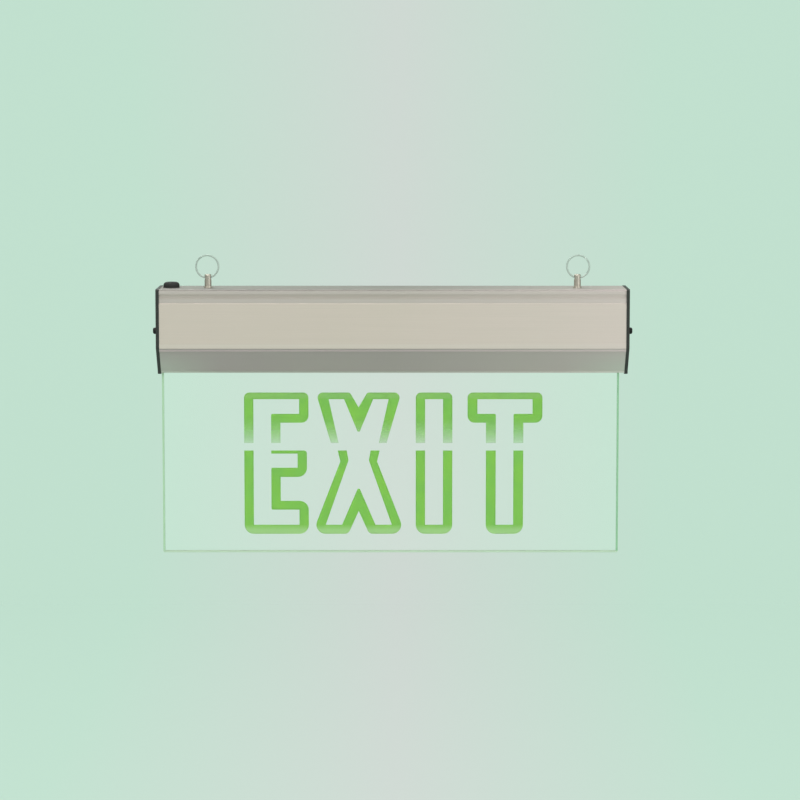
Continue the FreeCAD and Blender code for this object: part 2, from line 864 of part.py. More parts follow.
def cord_anchor():
    """Saddle clamp for the supply cord: two feet on the tray and a bridge between them."""
    half_y = anchor_width / 2
    foot = anchor_screw_inset * 2
    z_feet = tray_top + anchor_foot_height
    z_top = tray_top + anchor_bridge_height
    corners = [(half_y, z_feet, 0.8), (half_y - foot, z_feet, 0), (half_y - foot, z_top, 1.5)]
    under = half_y - foot - anchor_foot_height
    lower = [(under, z_top - anchor_foot_height, 0.8), (under, tray_top, 0), (half_y, tray_top, 0)]
    upper_left = [(-y, z, radius) for y, z, radius in reversed(corners)]
    lower_left = [(-y, z, radius) for y, z, radius in reversed(lower)]
    whole = corners + upper_left + lower_left + lower
    body = panel_of(whole, anchor_x - anchor_length / 2, anchor_x + anchor_length / 2)
    for x, y in anchor_screw_places():
        foot_hole = rod(small_core + 2 * screw_hole_gap, anchor_foot_height, Vector(x, y, tray_top), Z_AXIS)
        body = body.cut(foot_hole)
    return body


def anchor_screw_places():
    y = anchor_width / 2 - anchor_screw_inset
    return [(anchor_x, -y), (anchor_x, y)]


def cord_anchor_screws():
    reach = anchor_foot_height
    screw = pan_screw(small_head, small_rise, small_core, reach, False)
    return group([point_along(screw, Z_AXIS, Vector(x, y, tray_top + anchor_foot_height))
                  for x, y in anchor_screw_places()])


# Leads

def lead(points):
    """Round lead through the points, each corner eased by an arc of the lead's bend."""
    path = []
    start = points[0]
    for index in range(1, len(points) - 1):
        here = points[index]
        back = (points[index - 1] - here).normalize()
        ahead = (points[index + 1] - here).normalize()
        half_angle = back.getAngle(ahead) / 2
        reach = lead_bend / math.tan(half_angle)
        bisector = (back + ahead).normalize()
        middle = here + bisector * (lead_bend / math.sin(half_angle) - lead_bend)
        path.append(Part.makeLine(start, here + back * reach))
        path.append(Part.Arc(here + back * reach, middle, here + ahead * reach).toShape())
        start = here + ahead * reach
    path.append(Part.makeLine(start, points[-1]))
    heading = points[1] - points[0]
    ring = Part.Wire(Part.Circle(points[0], heading, lead_diameter / 2).toShape())
    return Part.Wire(path).makePipeShell([ring], True, False)


def plug_end():
    return board_end - 2 * plug_inset - small_head


def led_lead():
    z = board_top + lead_entry_height
    board_face = -led_board_drop + led_board_thickness
    points = [Vector(plug_end(), led_plug_row, z), Vector(tray_slot_x, led_plug_row, z)]
    points += [Vector(tray_slot_x, led_plug_row, board_face)]
    return lead(points)


def battery_lead():
    z_plug = board_top + lead_entry_height
    z_pack = battery_z + battery_lead_height
    middle = (plug_end() + battery_start) / 2
    points = [Vector(plug_end(), board_front_row, z_plug), Vector(middle, board_front_row, z_plug)]
    points += [Vector(middle, board_front_row, z_pack), Vector(battery_start, board_front_row, z_pack)]
    return lead(points)


# Test switch and indicator

def test_switch_body():
    half = switch_body_size / 2
    inner_face = wall_inner - switch_body_depth
    body = box((switch_x - half, switch_x + half), (inner_face, wall_inner),
               (switch_z - half, switch_z + half))
    bush = rod(bush_diameter, side_wall + bush_reach, Vector(switch_x, wall_inner, switch_z), Y_AXIS)
    body = joined(body, bush)
    bore = rod(button_diameter + 2 * button_gap, bush_reach + side_wall + 2,
               Vector(switch_x, wall_inner - 1, switch_z), Y_AXIS)
    chamber_start = wall_inner - button_flange_thickness - button_travel - 2 * button_end_gap
    chamber = rod(button_flange_diameter + 2 * button_gap, wall_inner - chamber_start,
                  Vector(switch_x, chamber_start, switch_z), Y_AXIS)
    return body.cut([bore, chamber])


def test_switch_nut():
    nut = hex_nut(switch_nut_flats, switch_nut_thickness, bush_diameter + 2 * thread_gap)
    return point_along(nut, Y_AXIS, Vector(switch_x, half_depth, switch_z))


def test_button():
    flange_start = wall_inner - button_flange_thickness - button_end_gap
    end = half_depth + bush_reach + button_rise
    stem = button_diameter / 2
    flange = button_flange_diameter / 2
    section = [(0, 0, 0), (flange, 0, 0), (flange, button_flange_thickness, 0)]
    section += [(stem, button_flange_thickness, 0), (stem, end - flange_start, button_crown)]
    section += [(0, end - flange_start, 0)]
    return point_along(turned(section), Y_AXIS, Vector(switch_x, flange_start, switch_z))


def indicator_bezel():
    barrel = indicator_barrel / 2
    bore = indicator_lens_diameter / 2 + indicator_lens_gap
    rim = indicator_bezel_diameter / 2
    section = [(bore, -indicator_length, 0), (barrel, -indicator_length, 0), (barrel, 0, 0), (rim, 0, 0)]
    section += [(rim, indicator_bezel_rise, 0.4), (bore, indicator_bezel_rise, 0)]
    return point_along(turned(section), Y_AXIS, Vector(indicator_x, half_depth, switch_z))


def charge_indicator():
    radius = indicator_lens_diameter / 2
    top = indicator_bezel_rise + indicator_lens_rise
    section = [(0, -indicator_length, 0), (radius, -indicator_length, 0)]
    section += [(radius, top, radius * 0.7), (0, top, 0)]
    return point_along(turned(section), Y_AXIS, Vector(indicator_x, half_depth, switch_z))


def nodes():
    clip_places = (battery_start + clip_inset, battery_start + battery_length - clip_inset)
    return {
        "housing_profile": housing_profile(),
        "end_cap_left": end_cap(-1),
        "end_cap_right": end_cap(1),
        "end_cap_screws": end_cap_screws(),
        "hanger_stud_left": hanger_stud(-half_stud),
        "hanger_stud_right": hanger_stud(half_stud),
        "hanger_washer_left": hanger_washer(-half_stud),
        "hanger_washer_right": hanger_washer(half_stud),
        "hanger_nut_left": hanger_nut(-half_stud),
        "hanger_nut_right": hanger_nut(half_stud),
        "split_ring_left": split_ring(-half_stud, left_jog_angle),
        "split_ring_right": split_ring(half_stud, right_jog_angle),
        "cable_grommet": cable_grommet(),
        "sign_panel": sign_panel(),
        "panel_clamp_front": panel_clamp(-1),
        "panel_clamp_rear": panel_clamp(1),
        "panel_clamp_screws": panel_clamp_screws(),
        "panel_clamp_nuts": panel_clamp_nuts(),
        "led_board": led_board(),
        "leds": leds(),
        "gear_tray": gear_tray(),
        "battery_pack": battery_pack(),
        "battery_clip_left": battery_clip(clip_places[0]),
        "battery_clip_right": battery_clip(clip_places[1]),
        "control_board": control_board(),
        "board_standoffs": board_standoffs(),
        "board_screws": board_screws(),
        "transformer_core": transformer_core(),
        "transformer_winding": transformer_winding(),
        "capacitors": capacitors(),
        "relay": relay(),
        "fuse": fuse(),
        "fuse_clips": fuse_clips(),
        "led_plug": board_plug(led_plug_row),
        "battery_plug": board_plug(board_front_row),
        "terminal_block": terminal_block(),
        "terminal_screws": terminal_screws(),
        "cord_anchor": cord_anchor(),
        "cord_anchor_screws": cord_anchor_screws(),
        "led_lead": led_lead(),
        "battery_lead": battery_lead(),
        "test_switch_body": test_switch_body(),
        "test_switch_nut": test_switch_nut(),
        "test_button": test_button(),
        "indicator_bezel": indicator_bezel(),
        "charge_indicator": charge_indicator(),
    }


os.makedirs("parts", exist_ok=True)
for name, shape in nodes().items():
    shape.exportStep(f"parts/{name}.step")
    print(name, "solids", len(shape.Solids), "valid", shape.isValid(), "volume", round(shape.Volume, 1))
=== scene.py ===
# %% [markdown]
# # A hanging emergency exit light
# The light is an aluminium extrusion with black end caps, two split rings on studs to hang it by, and
# a clear acrylic panel whose engraved word glows where the light of the LEDs meets it. The construction
# comes ready made at its real size, so this file only gives every surface its finish, and adds what is
# finer than the construction: the engraved word, the wire of the rings and the screw threads.

# %% Load the construction
import json
import math

import bmesh
import bpy
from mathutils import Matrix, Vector


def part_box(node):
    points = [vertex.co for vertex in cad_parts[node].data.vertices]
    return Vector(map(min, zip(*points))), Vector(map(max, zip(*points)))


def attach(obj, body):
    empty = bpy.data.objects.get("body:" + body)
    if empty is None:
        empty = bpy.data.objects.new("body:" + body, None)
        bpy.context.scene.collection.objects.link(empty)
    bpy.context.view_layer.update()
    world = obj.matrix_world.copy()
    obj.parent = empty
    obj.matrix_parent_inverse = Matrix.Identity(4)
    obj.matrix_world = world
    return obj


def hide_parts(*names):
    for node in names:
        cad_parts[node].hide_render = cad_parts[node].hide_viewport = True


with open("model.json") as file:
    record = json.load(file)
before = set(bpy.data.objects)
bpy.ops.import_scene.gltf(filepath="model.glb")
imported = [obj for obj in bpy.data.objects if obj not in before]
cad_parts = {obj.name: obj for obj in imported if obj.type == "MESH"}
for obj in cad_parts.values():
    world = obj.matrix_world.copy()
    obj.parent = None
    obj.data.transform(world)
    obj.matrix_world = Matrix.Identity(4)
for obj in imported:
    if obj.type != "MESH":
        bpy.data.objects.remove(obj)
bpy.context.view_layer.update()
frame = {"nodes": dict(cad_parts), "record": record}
mm = 0.001


# %% [markdown]
# ## Where things are
# Every later piece is placed from the construction, so a change of size there moves it too. A few
# measures of the panel and the housing are read once and get plain names here; the studs are read where
# the rings are made.

# %% Places read from the construction
panel_low, panel_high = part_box("sign_panel")
housing_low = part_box("housing_profile")[0]
panel_centre_x = (panel_low[0] + panel_high[0]) / 2
lip_z = housing_low[2]
front_y = housing_low[1]
print("panel seen below the housing, mm:", round((lip_z - panel_low[2]) / mm, 1))


# %% [markdown]
# ## The camera
# A long lens about two metres away keeps the upright edges upright. The camera stands a little above
# the housing, so that a thin line of its top face shows, and looks down at the middle of the object.
# No shift and no depth of field are used, so that any other view of the object stays well framed.

# %% Camera
frame_width = 0.6005
camera_distance = 2.2
camera_rise = 0.155
camera_side = 0.0055
view_centre_z = -0.0830
sensor = 36.0


def aim(thing, target):
    """Turns a lamp or camera, which looks along its own -Z, towards a point."""
    direction = Vector(target) - thing.location
    thing.rotation_euler = direction.to_track_quat("-Z", "Y").to_euler()


camera_data = bpy.data.cameras.new("camera")
camera = bpy.data.objects.new("camera", camera_data)
bpy.context.scene.collection.objects.link(camera)
camera.location = (camera_side, front_y - camera_distance, camera_rise)
aim(camera, (camera_side, front_y, view_centre_z))
camera_data.sensor_width = sensor
sight_line = math.hypot(camera_distance, camera_rise - view_centre_z)
camera_data.lens = sensor * sight_line / frame_width
bpy.context.scene.camera = camera
print("lens in mm:", round(camera_data.lens, 1))


# %% [markdown]
# ## Shader maths written as sums
# A finish could be drawn by hand in the shader editor, or as a long list of nodes and links. It is easier
# to read, and to change, as `0.4 + 0.1 * grain`. `Signal` wraps one socket of a node tree, and each
# operator that is used on it adds its Math node. The reflected forms are there too, so that `1 - mask`
# works. `above` is the one mask that every finish needs: a step with a soft edge.

# %% Signal
class Signal:
    """One socket of a node tree, which can be used in plain arithmetic."""

    def __init__(self, graph, socket):
        self.graph = graph
        self.socket = socket

    def math(self, operation, *others):
        sockets = dict(enumerate((self,) + others))
        return self.graph.node("ShaderNodeMath", {"operation": operation}, sockets)

    def __add__(self, other):
        return self.math("ADD", other)

    def __radd__(self, other):
        return self.math("ADD", other)

    def __sub__(self, other):
        return self.math("SUBTRACT", other)

    def __rsub__(self, other):
        return self.graph.value(other).math("SUBTRACT", self)

    def __mul__(self, other):
        return self.math("MULTIPLY", other)

    def __rmul__(self, other):
        return self.math("MULTIPLY", other)

    def __truediv__(self, other):
        return self.math("DIVIDE", other)

    def above(self, level, soft):
        """0 below level and 1 above it, with a soft edge of that width."""
        return ((self - level) / soft + 0.5).math("MINIMUM", 1.0).math("MAXIMUM", 0.0)


print("Signal knows:", ", ".join(name for name in vars(Signal) if name != "__module__"))


# %% [markdown]
# ## A tree that is written as steps
# Materials, the sky and Geometry Nodes are all node trees, so one small class serves them. Its `node`
# method makes any node from its type, its settings, which are set first, and the values or links of its
# sockets. It hands back one output as a Signal, ready for the next sum.

# %% Graph
class Graph:
    """A node tree that is written as steps."""

    def __init__(self, tree):
        self.tree = tree

    def node(self, kind, settings=None, sockets=None, output=0):
        made = self.tree.nodes.new(kind)
        for name, setting in (settings or {}).items():
            setattr(made, name, setting)
        for name, value in (sockets or {}).items():
            if isinstance(value, Signal):
                self.tree.links.new(value.socket, made.inputs[name])
            else:
                made.inputs[name].default_value = value
        return None if output is None else Signal(self, made.outputs[output])

    def value(self, number):
        return self.node("ShaderNodeMath", {"operation": "ADD"}, {0: number, 1: 0.0})


print("Graph makes a node from its kind, its settings and its sockets")


# %% [markdown]
# ## A material being built
# Every pattern could follow the piece's bounding box, but then it would stretch with the piece. Object
# coordinates are in metres, so a grain keeps its real size. `Finish` starts from them, and has a short
# method for each step that the finishes share: an axis, a noise, a mix of two colours, a bump and the
# Principled shader. Colours go through `shade`, which turns what a screen shows into linear light.

# %% Finish and colours
class Finish(Graph):
    """A material on Object coordinates, with a Principled shader."""

    def __init__(self, name):
        self.material = bpy.data.materials.new(name)
        self.material.use_nodes = True
        super().__init__(self.material.node_tree)
        self.tree.nodes.clear()
        self.place = self.node("ShaderNodeTexCoord", output="Object")

    def axis(self, letter):
        return self.node("ShaderNodeSeparateXYZ", sockets={0: self.place}, output=letter)

    def stretched(self, scale):
        return self.node("ShaderNodeMapping", sockets={"Vector": self.place, "Scale": scale})

    def noise(self, scale, stretch=(1, 1, 1), detail=3.0, roughness=0.5):
        sockets = {"Vector": self.stretched(stretch), "Scale": scale, "Detail": detail,
                   "Roughness": roughness}
        return self.node("ShaderNodeTexNoise", {"noise_dimensions": "3D"}, sockets, "Fac")

    def mix(self, share, first, second):
        sockets = {0: share, 6: first, 7: second}
        return self.node("ShaderNodeMix", {"data_type": "RGBA"}, sockets, 2)

    def bump(self, height, strength, distance=0.0005):
        sockets = {"Height": height, "Strength": strength, "Distance": distance}
        return self.node("ShaderNodeBump", sockets=sockets)

    def principled(self, **sockets):
        """Sockets are named by their own names in lower case, with underscores for spaces."""
        named = {name.replace("_", " ").title().replace("Ior", "IOR"): value
                 for name, value in sockets.items()}
        return self.node("ShaderNodeBsdfPrincipled", sockets=named)

    def done(self, shader):
        self.node("ShaderNodeOutputMaterial", sockets={"Surface": shader}, output=None)
        return self.material


def shade(red, green, blue):
    """A colour given as it looks on a screen, from 0 to 255, as linear light."""
    def linear(part):
        part /= 255
        return part / 12.92 if part <= 0.04045 else ((part + 0.055) / 1.055) ** 2.4

    return (linear(red), linear(green), linear(blue), 1.0)


print("a middle grey of 128 is", round(shade(128, 128, 128)[0], 3), "in linear light")


# %% [markdown]
# ## Satin anodised aluminium
# The extrusion is the largest surface. Anodising leaves a satin skin with fine lines along the bar,
# drawn by the die, and a faint cloudiness. A picture of brushed metal could be wrapped round it, but a
# noise stretched along X has no seam and keeps its size. Light and shade are painted into the colour as
# bands told apart by their depth below the top: painted shade on the strips above and on the slanted face
# below, which catch other parts of the room, and on the groove, the top face and the lip, and a painted
# highlight on the rounded edge above the slant. Painted reflections also lighten the main face towards its
# right end and the slant near both ends.

# %% Anodised aluminium
strip_depth = 0.0103
groove_middle = 0.0052
groove_half = 0.0018
highlight_low = 0.0436
highlight_high = 0.0412
slant_top = 0.0444
lip_top = 0.0627
face_tone = shade(220, 205, 195)
# painted shade for the strips, the groove, the slanted face, the top face and the lip, and a painted
# highlight
strip_painted_shade = shade(198, 187, 183)
groove_painted_shade = shade(176, 163, 156)
painted_highlight_tone = shade(224, 213, 204)
slant_painted_shade = shade(182, 164, 168)
top_painted_shade = shade(126, 119, 117)
lip_painted_shade = shade(160, 164, 154)


def anodised_aluminium():
    finish = Finish("anodised_aluminium")
    depth = 0.0 - finish.axis("Z")
    lines = finish.noise(9.0, (1.5, 260.0, 260.0), 4.0, 0.6)
    cloud = finish.noise(14.0, (0.8, 2.0, 2.0), 2.0)
    # painted shade: the strips above the step are darker than the main face
    tone = finish.mix(depth.above(strip_depth, 0.0004), strip_painted_shade, face_tone)
    # painted shade in the groove at the joint of the cover and the body
    groove_start = depth.above(groove_middle - groove_half, 0.001)
    groove = groove_start - depth.above(groove_middle + groove_half, 0.001)
    tone = finish.mix(groove * 0.6, tone, groove_painted_shade)
    # painted highlight along the rounded edge above the slanted face
    bright = depth.above(highlight_high, 0.0006) - depth.above(highlight_low, 0.0006)
    tone = finish.mix(bright * 0.6, tone, painted_highlight_tone)
    # painted shade on the slanted lower face
    tone = finish.mix(depth.above(slant_top, 0.0006), tone, slant_painted_shade)
    # painted shade on the top face
    tone = finish.mix(depth.above(0.0012, 0.0006), top_painted_shade, tone)
    # painted shade on the lip
    tone = finish.mix(depth.above(lip_top, 0.0006), tone, lip_painted_shade)
    along = finish.axis("X")
    # painted reflection: the extrusion is lighter and pinker towards its right end
    tone = finish.mix(along.above(0.10, 0.20) * 0.5, tone, shade(234, 216, 214))
    # painted reflection: a pale green sheen on the slanted face near both ends
    near_end = along.math("ABSOLUTE").above(0.155, 0.05)
    painted_end_sheen = near_end * depth.above(slant_top + 0.008, 0.014)
    tone = finish.mix(painted_end_sheen * 0.4, tone, shade(206, 226, 208))
    tone = finish.mix(cloud * 0.22, tone, shade(196, 198, 176))
    tone = finish.mix(lines * 0.25, tone, shade(176, 170, 158))
    rough = 0.40 + 0.14 * lines
    shader = finish.principled(base_color=tone, metallic=0.35, roughness=rough,
                               normal=finish.bump(lines, 0.12, 0.0002))
    return finish.done(shader)


band_edges = [round(depth / mm, 1) for depth in (strip_depth, slant_top, lip_top)]
print("bands of tone, mm below the top:", band_edges)


# %% [markdown]
# ## Moulded black plastic, black screws and rubber
# Three blacks that differ in gloss: the caps have the fine grain of a spark-eroded mould, the screws a
# half gloss oxide, and the grommet the dull bloom of rubber. One black could serve them all, but then the
# small pieces would melt into the caps, so each gets its own grain, at its own scale, and its own gloss.

# %% Blacks
def black_plastic():
    finish = Finish("black_plastic")
    grain = finish.noise(2600.0, detail=2.0)
    rub = finish.noise(60.0, (1, 1, 0.3), 3.0)
    tone = finish.mix(rub * 0.5, shade(34, 36, 33), shade(52, 56, 50))
    shader = finish.principled(base_color=tone, roughness=0.42 + 0.18 * grain,
                               normal=finish.bump(grain, 0.25, 0.0002))
    return finish.done(shader)


def black_oxide():
    finish = Finish("black_oxide")
    mottle = finish.noise(900.0, detail=3.0)
    tone = finish.mix(mottle, shade(22, 23, 22), shade(46, 48, 46))
    shader = finish.principled(base_color=tone, metallic=0.75, roughness=0.3 + 0.2 * mottle,
                               normal=finish.bump(mottle, 0.15, 0.0001))
    return finish.done(shader)


def black_rubber():
    finish = Finish("black_rubber")
    bloom = finish.noise(240.0, detail=4.0)
    tone = finish.mix(bloom * 0.7, shade(24, 25, 23), shade(48, 50, 46))
    shader = finish.principled(base_color=tone, roughness=0.62 + 0.2 * bloom,
                               normal=finish.bump(bloom, 0.2, 0.0002))
    return finish.done(shader)


print("blacks: cap plastic, screw oxide, grommet rubber")


# %% [markdown]
# ## Turned and plated steel
# Studs, nuts and washers are turned, which leaves rings round their axis. Cutting the rings as geometry
# would cost thousands of faces for a tenth of a millimetre, so they are a fine wave in height that feeds
# roughness and bump. The split rings are drawn wire with a satin nickel skin and faint drawing marks.

# %% Metals
def turned_steel():
    finish = Finish("turned_steel")
    height = finish.axis("Z")
    marks = (height * 9000.0).math("SINE") * 0.5 + 0.5
    cloud = finish.noise(300.0, detail=3.0)
    tone = finish.mix(cloud * 0.6, shade(208, 202, 188), shade(172, 165, 152))
    shader = finish.principled(base_color=tone, metallic=0.85, roughness=0.27 + 0.12 * marks,
                               normal=finish.bump(marks, 0.12, 0.0001))
    return finish.done(shader)


def plain_metal(name, light, dark, metallic, rough):
    finish = Finish(name)
    cloud = finish.noise(220.0, (1, 1, 1), 4.0)
    tone = finish.mix(cloud, light, dark)
    shader = finish.principled(base_color=tone, metallic=metallic, roughness=rough + 0.15 * cloud,
                               normal=finish.bump(cloud, 0.08, 0.0001))
    return finish.done(shader)


print("metals: turned steel, and plain metals made by one function")


# %% [markdown]
# ## Clear acrylic lit from its top edge
# The sheet lets light through, so it is a Principled shader with full transmission. Light that travels
# inside it leaves only where the surface is broken: at the bevelled edges, which glow a soft green. That
# glow could be left to the path of the light, but it would need far more rays than it is worth. So a
# second shader gives it, and the distance from the sheet's middle says where the edges are. The left edge
# is paler than the right one, and the foot is the palest.

# %% Clear acrylic
edge_width = 0.0013
left_green = shade(166, 202, 168)
right_green = shade(128, 182, 142)
foot_green = shade(190, 208, 188)


def clear_acrylic():
    finish = Finish("clear_acrylic")
    half_width = (panel_high[0] - panel_low[0]) / 2
    across = finish.axis("X") - panel_centre_x
    side = across.math("ABSOLUTE").above(half_width - edge_width, 0.0003)
    foot = (0.0 - finish.axis("Z")).above(-panel_low[2] - edge_width, 0.0003)
    edge = side.math("MAXIMUM", foot)
    # painted glow: a faint pale green light over the whole clear sheet, for light scattered inside it
    clear = finish.principled(base_color=shade(252, 255, 253), roughness=0.0, transmission_weight=1.0,
                              ior=1.49, emission_color=shade(226, 240, 228), emission_strength=0.03)
    saw = finish.noise(900.0, (1, 1, 0.2), 2.0)
    side_green = finish.mix(across.above(0.0, half_width * 2), left_green, right_green)
    green = finish.mix(foot, side_green, foot_green)
    glow = finish.mix(saw * 0.3, green, shade(176, 214, 160))
    lit = finish.principled(base_color=glow, roughness=0.35, emission_color=glow, emission_strength=0.2)
    shader = finish.node("ShaderNodeMixShader", sockets={0: edge * 0.9, 1: clear, 2: lit})
    return finish.done(shader)


print("glowing edge, mm wide:", round(edge_width / mm, 1))


# %% [markdown]
# ## Small plastics and boards inside
# What the housing hides still has a finish of its own, because the pieces can be looked at one by one.
# They differ in colour, gloss and grain alone, so one function makes them all, and a second makes the
# lenses that are lit.

# %% Plain plastics
def plain_plastic(name, light, dark, rough, grain_size=400.0, clear=0.0):
    finish = Finish(name)
    grain = finish.noise(grain_size, detail=3.0)
    tone = finish.mix(grain, light, dark)
    shader = finish.principled(base_color=tone, roughness=rough + 0.12 * grain, coat_weight=clear,
                               normal=finish.bump(grain, 0.1, 0.0001))
    return finish.done(shader)


def lit_lens(name, light, dark, strength):
    finish = Finish(name)
    grain = finish.noise(500.0, detail=2.0)
    tone = finish.mix(grain, light, dark)
    shader = finish.principled(base_color=tone, roughness=0.18 + 0.1 * grain, emission_color=tone,
                               emission_strength=strength)
    return finish.done(shader)


print("plastics and lenses are ready to be named")


# %% [markdown]
# ## Which finish goes on which piece
# The record names a slot for every node. Each piece could be dressed by name, but the list would have to
# grow with the construction. One table turns slots into finishes instead, so a piece that is added gets
# its finish by its slot alone.

# %% Finishes by slot
finishes = {
    "anodised_aluminium": anodised_aluminium(),
    "black_plastic": black_plastic(),
    "blackened_steel": black_oxide(),
    "black_rubber": black_rubber(),
    "turned_steel": turned_steel(),
    "clear_acrylic": clear_acrylic(),
    # the faint green in the wire's two tones is a painted reflection of the pale green backdrop
    "nickel_wire": plain_metal("nickel_wire", shade(198, 212, 202), shade(174, 190, 180), 0.5, 0.42),
    "zinc_steel": plain_metal("zinc_steel", shade(196, 198, 196), shade(168, 170, 168), 0.9, 0.3),
    "spring_steel": plain_metal("spring_steel", shade(150, 152, 152), shade(120, 122, 122), 0.9, 0.28),
    "plain_aluminium": plain_metal("plain_aluminium", shade(206, 206, 204), shade(180, 180, 178),
                                   0.9, 0.35),
    "galvanised_sheet": plain_metal("galvanised_sheet", shade(188, 190, 190), shade(150, 154, 156),
                                    0.7, 0.4),
    "iron_core": plain_metal("iron_core", shade(92, 92, 96), shade(66, 66, 70), 0.5, 0.5),
    "board_white": plain_plastic("board_white", shade(236, 236, 230), shade(224, 224, 216), 0.35),
    "board_green": plain_plastic("board_green", shade(30, 96, 52), shade(22, 74, 40), 0.3, 300.0, 0.3),
    "battery_wrap": plain_plastic("battery_wrap", shade(44, 118, 74), shade(36, 98, 60), 0.25, 120.0, 0.3),
    "winding_tape": plain_plastic("winding_tape", shade(226, 202, 84), shade(206, 180, 66), 0.3, 200.0),
    "capacitor_sleeve": plain_plastic("capacitor_sleeve", shade(34, 38, 72), shade(26, 28, 56), 0.25),
    "relay_case": plain_plastic("relay_case", shade(40, 60, 120), shade(32, 48, 100), 0.3),
    "fuse_glass": plain_plastic("fuse_glass", shade(214, 220, 220), shade(196, 204, 204), 0.1),
    "plug_nylon": plain_plastic("plug_nylon", shade(232, 230, 218), shade(218, 216, 202), 0.4),
    "lead_sleeve": plain_plastic("lead_sleeve", shade(182, 40, 34), shade(158, 30, 26), 0.4),
    "switch_case": plain_plastic("switch_case", shade(42, 42, 42), shade(58, 58, 58), 0.35),
    "button_red": plain_plastic("button_red", shade(186, 34, 30), shade(168, 26, 24), 0.25, 500.0, 0.4),
    "led_lens": lit_lens("led_lens", shade(150, 226, 130), shade(120, 206, 110), 0.6),
    "indicator_lens": lit_lens("indicator_lens", shade(96, 196, 92), shade(70, 170, 70), 0.2),
}

slot_of = {part["node"]: part["material_slot"] for part in frame["record"]["subparts"]}


def dress(piece, material):
    piece.data.materials.clear()
    piece.data.materials.append(material)


for name, node in frame["nodes"].items():
    dress(node, finishes[slot_of[name]])
print("finishes:", len(finishes), "nodes:", len(frame["nodes"]))


# %% [markdown]
# ## Wire that is grown by Geometry Nodes
# Wire that follows a path could be a curve with a bevel, but its sizes would be buried in its points. A
# Geometry Nodes tree keeps them as named inputs, which anyone can turn. `Shape` is such a tree being
# built. `grow` runs it once, keeps the mesh it gives and drops the modifier, so that the piece is a plain
# mesh with its place in its vertices.

# %% Shape and grow
class Shape(Graph):
    """A Geometry Nodes tree with named inputs and one geometry output."""

    def __init__(self, name, sizes):
        super().__init__(bpy.data.node_groups.new(name, "GeometryNodeTree"))
        self.sizes = sizes
        self.keys = {}
        for label, value in sizes.items():
            kind = "NodeSocketMaterial" if isinstance(value, bpy.types.Material) else "NodeSocketFloat"
            entry = self.tree.interface.new_socket(label, in_out="INPUT", socket_type=kind)
            self.keys[label] = entry.identifier
        self.tree.interface.new_socket("Geometry", in_out="OUTPUT", socket_type="NodeSocketGeometry")
        self.entry = self.tree.nodes.new("NodeGroupInput")

    def size(self, label):
        return Signal(self, self.entry.outputs[label])

    def vector(self, x, y, z):
        return self.node("ShaderNodeCombineXYZ", sockets={0: x, 1: y, 2: z})

    def done(self, geometry):
        smooth = self.node("GeometryNodeSetShadeSmooth", sockets={"Geometry": geometry})
        whole = self.node("GeometryNodeRealizeInstances", sockets={"Geometry": smooth})
        dressed = self.node("GeometryNodeSetMaterial",
                            sockets={"Geometry": whole, "Material": self.size("Finish")})
        self.node("NodeGroupOutput", sockets={"Geometry": dressed}, output=None)
        return self


def grow(name, shape):
    seed = bpy.data.objects.new(name + "_seed", bpy.data.meshes.new(name + "_seed"))
    bpy.context.scene.collection.objects.link(seed)
    modifier = seed.modifiers.new("grown", "NODES")
    modifier.node_group = shape.tree
    for label, value in shape.sizes.items():
        modifier[shape.keys[label]] = value
    grown = bpy.data.meshes.new_from_object(seed.evaluated_get(bpy.context.evaluated_depsgraph_get()))
    grown.name = name
    seed.modifiers.remove(modifier)
    bpy.data.objects.remove(seed)
    piece = bpy.data.objects.new(name, grown)
    bpy.context.scene.collection.objects.link(piece)
    print(name, "faces:", len(grown.polygons))
    return piece


# %% [markdown]
# ## Split rings
# Each ring is one flat wire wound twice round, that steps from the front turn to the rear one. Two plain
# rings side by side would look much the same from afar, but would show no ends and no step. So the path is
# a formula: an angle that runs along the wire, and an offset along the ring's axis that eases from one
# turn to the other. The rounded section follows it, and the ring then leans outwards in its stud.

# %% Wire wound into a split ring
ring_sizes = {
    "Mean radius": 8.45 * mm,
    "Wire across": 1.3 * mm,
    "Wire along": 0.68 * mm,
    "Wire edge": 0.24 * mm,
    "Turn spacing": 0.76 * mm,
    "Step span": math.radians(22),
    "End gap": math.radians(3),
    "Lean": math.radians(3.5),
    "Hole height": 7.5 * mm,
}
full_turn = 2 * math.pi


